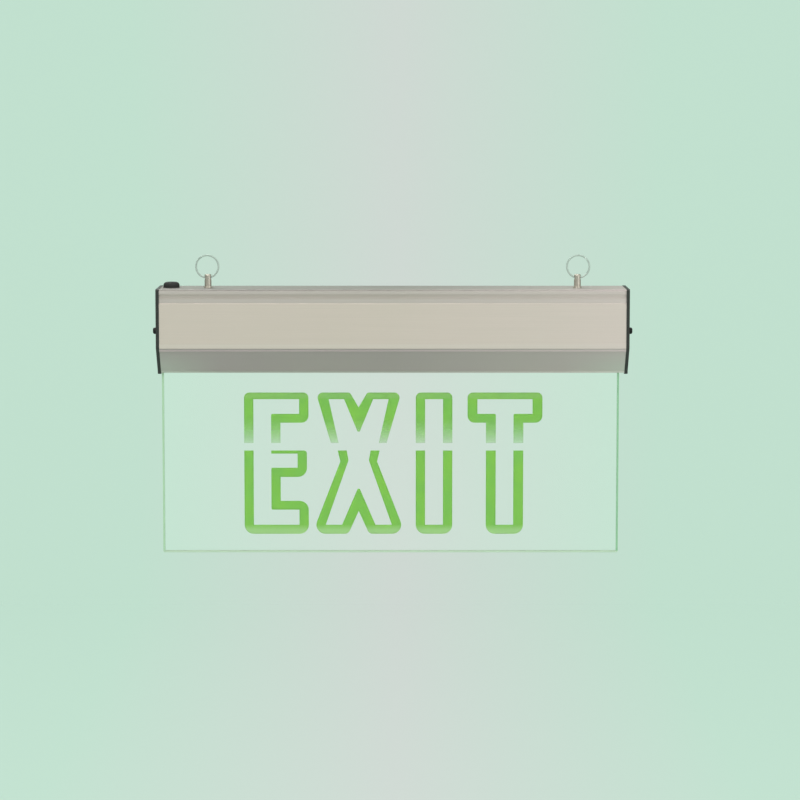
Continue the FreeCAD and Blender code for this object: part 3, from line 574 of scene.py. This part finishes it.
def ring_shape(name, stud_x, step_at):
    sizes = dict(ring_sizes)
    sizes.update({"Stud place": stud_x, "Step at": step_at, "Finish": finishes["nickel_wire"]})
    sizes["Lean"] = math.copysign(sizes["Lean"], stud_x)
    shape = Shape(name, sizes)
    share = shape.node("GeometryNodeSplineParameter", output="Factor")
    start = shape.size("Step span") + shape.size("End gap")
    angle = start + share * (2 * full_turn - shape.size("End gap") - start)
    step_end = shape.size("Step span") + full_turn
    half_spacing = shape.size("Turn spacing") * 0.5
    offset = shape.node("ShaderNodeMapRange", {"interpolation_type": "SMOOTHSTEP"},
                        {"Value": angle, "From Min": full_turn, "From Max": step_end,
                         "To Min": 0.0 - half_spacing, "To Max": half_spacing})
    turned = angle + shape.size("Step at")
    radius = shape.size("Mean radius")
    place = shape.vector(radius * turned.math("COSINE"), radius * turned.math("SINE"), 0.0 - offset)
    line = shape.node("GeometryNodeCurvePrimitiveLine")
    points = shape.node("GeometryNodeResampleCurve", sockets={"Curve": line, "Count": 360})
    path = shape.node("GeometryNodeSetPosition", sockets={"Geometry": points, "Position": place})
    path = shape.node("GeometryNodeSetCurveNormal", {"mode": "Z_UP"}, {"Curve": path})
    flat = shape.node("GeometryNodeCurvePrimitiveQuadrilateral",
                      sockets={"Width": shape.size("Wire across"), "Height": shape.size("Wire along")})
    section = shape.node("GeometryNodeFilletCurve", {"mode": "POLY"},
                         {"Curve": flat, "Radius": shape.size("Wire edge"), "Count": 3})
    wire = shape.node("GeometryNodeCurveToMesh",
                      sockets={"Curve": path, "Profile Curve": section, "Fill Caps": True})
    upright = shape.node("GeometryNodeTransform",
                         sockets={"Geometry": wire, "Translation": shape.vector(0.0, 0.0, radius),
                                  "Rotation": (math.pi / 2, 0.0, 0.0)})
    stood = shape.node("GeometryNodeTransform",
                       sockets={"Geometry": upright, "Rotation": shape.vector(0.0, shape.size("Lean"), 0.0),
                                "Translation": shape.vector(shape.size("Stud place"), 0.0,
                                                            shape.size("Hole height"))})
    return shape.done(stood)


for side, step_at in (("left", 118), ("right", 40)):
    stud_low, stud_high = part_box(f"hanger_stud_{side}")
    shape = ring_shape(f"ring_shape_{side}", (stud_low[0] + stud_high[0]) / 2, math.radians(step_at))
    ring = grow(f"wound_ring_{side}", shape)
    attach(ring, f"ring_{side}")
    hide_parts(f"split_ring_{side}")


# %% [markdown]
# ## The thread of the test switch
# The bush of the test switch stands out of the rear wall and its nut, and the last turns of its thread
# show. A thread could be cut into the bush, but the bush belongs to the construction and stays as it is.
# A thin triangular wire wound on a spiral round it gives the same crests.

# %% Thread on the bush
thread_clearance = 0.0002


def thread_shape(name, low, high, clear_of):
    middle_x = (low[0] + high[0]) / 2
    middle_z = (low[2] + high[2]) / 2
    sizes = {"Bush radius": 3.5 * mm, "Thread rise": 0.12 * mm, "Start": clear_of,
             "Length": high[1] - clear_of - thread_clearance, "Turns": 2.4,
             "Finish": finishes["switch_case"]}
    shape = Shape(name, sizes)
    radius = shape.size("Bush radius")
    spiral = shape.node("GeometryNodeCurveSpiral",
                        sockets={"Resolution": 48, "Rotations": shape.size("Turns"), "Start Radius": radius,
                                 "End Radius": radius, "Height": shape.size("Length")})
    section = shape.node("GeometryNodeCurvePrimitiveCircle",
                         sockets={"Resolution": 3, "Radius": shape.size("Thread rise")})
    wire = shape.node("GeometryNodeCurveToMesh",
                      sockets={"Curve": spiral, "Profile Curve": section, "Fill Caps": True})
    laid = shape.node("GeometryNodeTransform",
                      sockets={"Geometry": wire, "Rotation": (-math.pi / 2, 0.0, 0.0),
                               "Translation": shape.vector(middle_x, shape.size("Start"), middle_z)})
    return shape.done(laid)


switch_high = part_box("test_switch_body")[1]
nut_low, nut_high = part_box("test_switch_nut")
thread_start = nut_high[1] + thread_clearance
thread = grow("bush_thread", thread_shape("thread_shape", nut_low, switch_high, thread_start))
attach(thread, "housing")


# %% [markdown]
# ## The engraved word
# The word is cut into the back of the sheet as outlines, each a shallow trench with sloping walls. Every
# outline is broken by one level gap, and the strokes above the gap fade out towards it. A Text object
# could give the letters, but no typeface has these rounds and this break, so they are drawn. Each half of
# a letter is one closed outline. Its corners are listed with the radius of the cutter's turn there.

# %% Heights and stroke widths of the letters
letter_top = -80.5
letter_foot = -187.3
gap_top = -117.6
gap_foot = -124.8
stroke = 5.6
top_stroke = 3.6
foot_stroke = 5.5
arm_foot = -102.1
arm_stroke = 5.3
top_round = 3.2
arm_round = 4.6
foot_round = 6.2
cutter_round = 0.4
inner_top = letter_top - top_stroke
inner_foot = letter_foot + foot_stroke
print("letter height, mm:", round(letter_top - letter_foot, 1))


# %% [markdown]
# ## The outlines of the four letters
# The letter I is the simplest: its upper half is an arch and its lower half a cup. The same cup serves
# the stem of the T, and the E and X are walked round corner by corner. Each length is read off the letter
# in millimetres, and what all the letters share, such as a stroke or a round, has one name.

# %% Outlines of the letters, as (x, z, corner radius) in millimetres
def arch(left, right, wall):
    return [(left, gap_top, 0), (left, letter_top, top_round), (right, letter_top, top_round),
            (right, gap_top, 0), (right - wall, gap_top, 0), (right - wall, inner_top, cutter_round),
            (left + wall, inner_top, cutter_round), (left + wall, gap_top, 0)]


def cup(left, right, wall):
    return [(left, gap_foot, 0), (left + wall, gap_foot, 0), (left + wall, inner_foot, cutter_round),
            (right - wall, inner_foot, cutter_round), (right - wall, gap_foot, 0),
            (right, gap_foot, 0), (right, letter_foot, foot_round), (left, letter_foot, foot_round)]


def letter_e():
    left = -112.1
    spine = -91.6
    arm_end = -64.7
    middle_end = -66.0
    middle_foot = -143.6
    low_arm_top = -163.4
    hairline = 0.9
    upper = [(left, gap_top, 0), (left, letter_top, top_round), (arm_end, letter_top, top_round),
             (arm_end, arm_foot, arm_round), (spine + stroke, arm_foot, cutter_round),
             (spine + stroke, gap_top, 0), (spine, gap_top, 0),
             (spine, arm_foot + arm_stroke, cutter_round),
             (arm_end - stroke, arm_foot + arm_stroke, cutter_round),
             (arm_end - stroke, inner_top, cutter_round), (left + stroke, inner_top, cutter_round),
             (left + stroke, gap_top, 0)]
    lower = [(left, gap_foot, 0), (left + stroke, gap_foot, 0), (left + stroke, inner_foot, cutter_round),
             (arm_end - stroke, inner_foot, cutter_round),
             (arm_end - stroke, low_arm_top - arm_stroke, cutter_round),
             (spine, low_arm_top - arm_stroke, cutter_round), (spine, middle_foot + stroke, cutter_round),
             (middle_end - stroke, middle_foot + stroke, cutter_round),
             (middle_end - stroke, gap_foot - hairline, 0.2), (spine, gap_foot - hairline, 0),
             (spine, gap_foot, 0), (middle_end, gap_foot, 1.6), (middle_end, middle_foot, foot_round),
             (spine + stroke, middle_foot, cutter_round), (spine + stroke, low_arm_top, cutter_round),
             (arm_end, low_arm_top, foot_round), (arm_end, letter_foot, foot_round),
             (left, letter_foot, foot_round)]
    return [upper, lower]


def letter_x():
    """Both halves are symmetric about the letter's middle, so only their right sides are listed."""
    middle = -25.9
    upper_right = [(0, -92.6, 0.6), (7.0, letter_top, 1.8), (31.4, letter_top, top_round),
                   (20.6, gap_top, 0), (16.2, gap_top, 0), (23.7, inner_top, cutter_round),
                   (10.5, inner_top, cutter_round), (0, -109.7, cutter_round)]
    lower_right = [(0, -153.4, cutter_round), (12.2, inner_foot, cutter_round),
                   (26.2, inner_foot, cutter_round), (8.5, -131.5, 1.0), (9.7, gap_foot, 0),
                   (15.0, gap_foot, 0), (13.2, -132.5, 1.0), (34.4, letter_foot, foot_round),
                   (8.4, letter_foot, 3.6), (0, -168.6, 0.6)]
    halves = []
    for right in (upper_right, lower_right):
        left = [(-x, z, radius) for x, z, radius in reversed(right[1:-1])]
        halves.append([(middle + x, z, radius) for x, z, radius in right + left])
    return halves


def letter_t():
    left = 57.5
    right = 112.8
    stem_left = 71.5
    stem_right = 98.4
    wall = 6.0
    shoulder = arm_foot + arm_stroke
    upper = [(stem_left, gap_top, 0), (stem_left, arm_foot, cutter_round), (left, arm_foot, arm_round),
             (left, letter_top, top_round), (right, letter_top, top_round), (right, arm_foot, arm_round),
             (stem_right, arm_foot, cutter_round), (stem_right, gap_top, 0),
             (stem_right - wall, gap_top, 0), (stem_right - wall, shoulder, cutter_round),
             (right - wall, shoulder, cutter_round), (right - wall, inner_top, cutter_round),
             (left + wall, inner_top, cutter_round), (left + wall, shoulder, cutter_round),
             (stem_left + wall, shoulder, cutter_round), (stem_left + wall, gap_top, 0)]
    return [upper, cup(stem_left, stem_right, wall)]


def letter_i():
    left = 18.2
    right = 44.5
    return [arch(left, right, stroke), cup(left, right, stroke)]


word = {"e": letter_e(), "x": letter_x(), "i": letter_i(), "t": letter_t()}
print("corners:", {letter: [len(half) for half in halves] for letter, halves in word.items()})


# %% [markdown]
# ## From corners to a trench
# A Bevel modifier could round the corners, but each has its own radius, and the slope has to run round
# them evenly. So a corner with a radius becomes a short arc, with as many points as its turn needs. The
# trench's floor is this outline; its rim at the sheet's face is the same one pushed out by the slope.

# %% From corners to a trench
arc_step = math.radians(15)
trench_depth = 0.7
trench_slope = 0.75
trench_proud = 0.015


def turns_left(before, here, after):
    """Whether an anticlockwise outline bends outwards at this corner."""
    return (here - before).cross(after - here) > 0


def walk(corners, push=0.0):
    """Points of an anticlockwise outline, its sides pushed out and its corners turned by arcs."""
    points = []
    for index, (x, z, radius) in enumerate(corners):
        here = Vector((x, z))
        before = Vector(corners[index - 1][:2])
        after = Vector(corners[(index + 1) % len(corners)][:2])
        back = (before - here).normalized()
        ahead = (after - here).normalized()
        inward = (back + ahead).normalized()
        half = back.angle(ahead) / 2
        convex = turns_left(before, here, after)
        outward = -inward if convex else inward
        here = here + outward * push / math.sin(half)
        if radius == 0:
            points.append(here)
            continue
        turned = max(0.02, radius + push if convex else radius - push)
        reach = turned / math.tan(half)
        centre = here + inward * turned / math.sin(half)
        first = here + back * reach - centre
        turn = first.angle_signed(here + ahead * reach - centre)
        steps = max(2, math.ceil(abs(turn) / arc_step - 0.01))
        start = math.atan2(first.y, first.x)
        for step in range(steps + 1):
            angle = start - turn * step / steps
            points.append(centre + turned * Vector((math.cos(angle), math.sin(angle))))
    return points


def anticlockwise(corners):
    pairs = zip(corners, corners[1:] + corners[:1])
    area = sum(a[0] * b[1] - b[0] * a[1] for a, b in pairs)
    return corners if area > 0 else list(reversed(corners))


def trench(name, corners):
    """One engraved outline: a flat floor inside the sheet, sloping walls and a rim at its back."""
    corners = anticlockwise(corners)
    floor = walk(corners)
    rim = walk(corners, trench_slope)
    rear = panel_high[1] / mm + trench_proud
    mesh = bmesh.new()
    floor_ring = [mesh.verts.new((p.x * mm, (rear - trench_depth) * mm, p.y * mm)) for p in floor]
    rim_ring = [mesh.verts.new((p.x * mm, rear * mm, p.y * mm)) for p in rim]
    faces = [mesh.faces.new(floor_ring), mesh.faces.new(list(reversed(rim_ring)))]
    mesh.normal_update()
    bmesh.ops.triangulate(mesh, faces=faces)
    count = len(floor_ring)
    for index in range(count):
        onward = (index + 1) % count
        wall = mesh.faces.new((rim_ring[index], rim_ring[onward], floor_ring[onward], floor_ring[index]))
        wall.material_index = 1
    bmesh.ops.recalc_face_normals(mesh, faces=mesh.faces)
    data = bpy.data.meshes.new(name)
    mesh.to_mesh(data)
    mesh.free()
    piece = bpy.data.objects.new(name, data)
    bpy.context.scene.collection.objects.link(piece)
    return piece


print("points round the floor of the I's arch:", len(walk(anticlockwise(word["i"][0]))))


# %% [markdown]
# ## The glow of the engraving
# The floor of a trench is frosted and full of green light. It is not even: the cutter leaves patches, the
# level strokes are paler, and those nearest the gap fade. A lamp in the sheet would be closer to the real
# thing, but slow and grainy, so the floor gives its own soft light. The fade is done with Alpha, because
# the sheet has to show through it. The walls are paler still, since they face away.

# %% Engraving finishes
fade_length = 0.0215
faintest = 0.25


def engraved(name, deep, bright, strength):
    finish = Finish(name)
    height = finish.axis("Z")
    patches = finish.noise(55.0, detail=3.0)
    speckle = finish.noise(1500.0, detail=2.0)
    tone = finish.mix(patches.above(0.5, 0.35), deep, bright)
    foot_light = (0.0 - height).above(-inner_foot * mm + 0.001, 0.004)
    top_light = height.above(inner_top * mm, 0.002)
    tone = finish.mix(foot_light * 0.7, tone, shade(158, 196, 134))
    tone = finish.mix(top_light * 0.25, tone, shade(152, 182, 128))
    below_gap = (0.0 - height).above(-(gap_top + gap_foot) / 2 * mm, 0.0001)
    fading = ((height - gap_top * mm) / fade_length).math("MINIMUM", 1.0).math("MAXIMUM", 0.0)
    alpha = below_gap.math("MAXIMUM", faintest + (1 - faintest) * fading)
    shader = finish.principled(base_color=tone, roughness=0.6, alpha=alpha, emission_color=tone,
                               emission_strength=strength, normal=finish.bump(speckle, 0.3, 0.0001))
    return finish.done(shader)


trench_floor = engraved("trench_floor", shade(108, 176, 62), shade(118, 182, 52), 0.5)
trench_wall = engraved("trench_wall", shade(200, 240, 172), shade(206, 242, 180), 0.5)

for letter, halves in word.items():
    for part, corners in zip(("upper", "lower"), halves):
        stroke_piece = trench(f"engraved_{letter}_{part}", corners)
        dress(stroke_piece, trench_floor)
        stroke_piece.data.materials.append(trench_wall)
        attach(stroke_piece, "housing")
print("engraved outlines:", sum(len(halves) for halves in word.values()))


# %% [markdown]
# ## The stage
# A plain pale wall and floor stand well away, and leave room to look at the back of the light. To a
# camera ray, and to one let through the sheet, they are a pale green that greys towards the middle; to
# every other ray they are a plain surface that bounces the soft light back. Four large lamps and a pale
# sky give the light, with none of them strong enough to clip. One lamp stands behind, for the rear face.

# %% Wall, floor and light
bounce_colour = shade(203, 221, 211)
backdrop_colour = shade(198, 230, 212)
middle_colour = shade(213, 221, 216)
even_share = 0.85
sky_seen = 0.945
lamp_target = (0, 0, -0.06)


def stage_finish():
    finish = Finish("stage_finish")
    paths = finish.tree.nodes.new("ShaderNodeLightPath")
    seen = [Signal(finish, paths.outputs[name]) for name in ("Is Camera Ray", "Is Transmission Ray")]
    share = seen[0].math("MAXIMUM", seen[1]) * even_share
    plain = finish.node("ShaderNodeBsdfDiffuse", sockets={"Color": bounce_colour})
    across = finish.axis("X").math("ABSOLUTE").above(0.25, 0.5)
    tone = finish.mix(across, middle_colour, backdrop_colour)
    even = finish.node("ShaderNodeEmission", sockets={"Color": tone, "Strength": 1.0})
    return finish.done(finish.node("ShaderNodeMixShader", sockets={0: share, 1: plain, 2: even}))


def stage_plane(name, corners):
    data = bpy.data.meshes.new(name)
    data.from_pydata(corners, [], [(0, 1, 2, 3)])
    plane = bpy.data.objects.new(name, data)
    bpy.context.scene.collection.objects.link(plane)
    dress(plane, stage_material)


def soft_lamp(name, place, size, power):
    data = bpy.data.lights.new(name, "AREA")
    data.shape = "SQUARE"
    data.size = size
    data.energy = power
    lamp = bpy.data.objects.new(name, data)
    bpy.context.scene.collection.objects.link(lamp)
    lamp.location = place
    aim(lamp, lamp_target)


stage_material = stage_finish()
stage_half = 8.0
floor_z = -0.85
wall_y = 3.4
stage_plane("floor", [(-stage_half, -stage_half, floor_z), (stage_half, -stage_half, floor_z),
                      (stage_half, wall_y, floor_z), (-stage_half, wall_y, floor_z)])
stage_plane("wall", [(-stage_half, wall_y, floor_z), (stage_half, wall_y, floor_z),
                     (stage_half, wall_y, stage_half), (-stage_half, wall_y, stage_half)])
soft_lamp("key_lamp", (-0.9, -1.9, 1.5), 1.4, 26.0)
soft_lamp("fill_lamp", (1.5, -1.6, 0.5), 1.6, 12.0)
soft_lamp("top_lamp", (0.0, 0.4, 1.9), 1.4, 14.0)
soft_lamp("back_lamp", (-0.8, 2.1, 1.9), 1.0, 20.0)

world = bpy.data.worlds.new("sky")
bpy.context.scene.world = world
world.use_nodes = True
sky = Graph(world.node_tree)
sky.tree.nodes.clear()
light = sky.node("ShaderNodeBackground", sockets={"Color": (0.93, 0.98, 0.95, 1.0), "Strength": 0.55})
plain = sky.node("ShaderNodeBackground", sockets={"Color": backdrop_colour, "Strength": sky_seen})
is_seen = sky.node("ShaderNodeLightPath", output="Is Camera Ray")
both = sky.node("ShaderNodeMixShader", sockets={0: is_seen, 1: light, 2: plain})
sky.node("ShaderNodeOutputWorld", sockets={"Surface": both}, output=None)
bpy.context.scene.view_settings.view_transform = "Standard"


# %% [markdown]
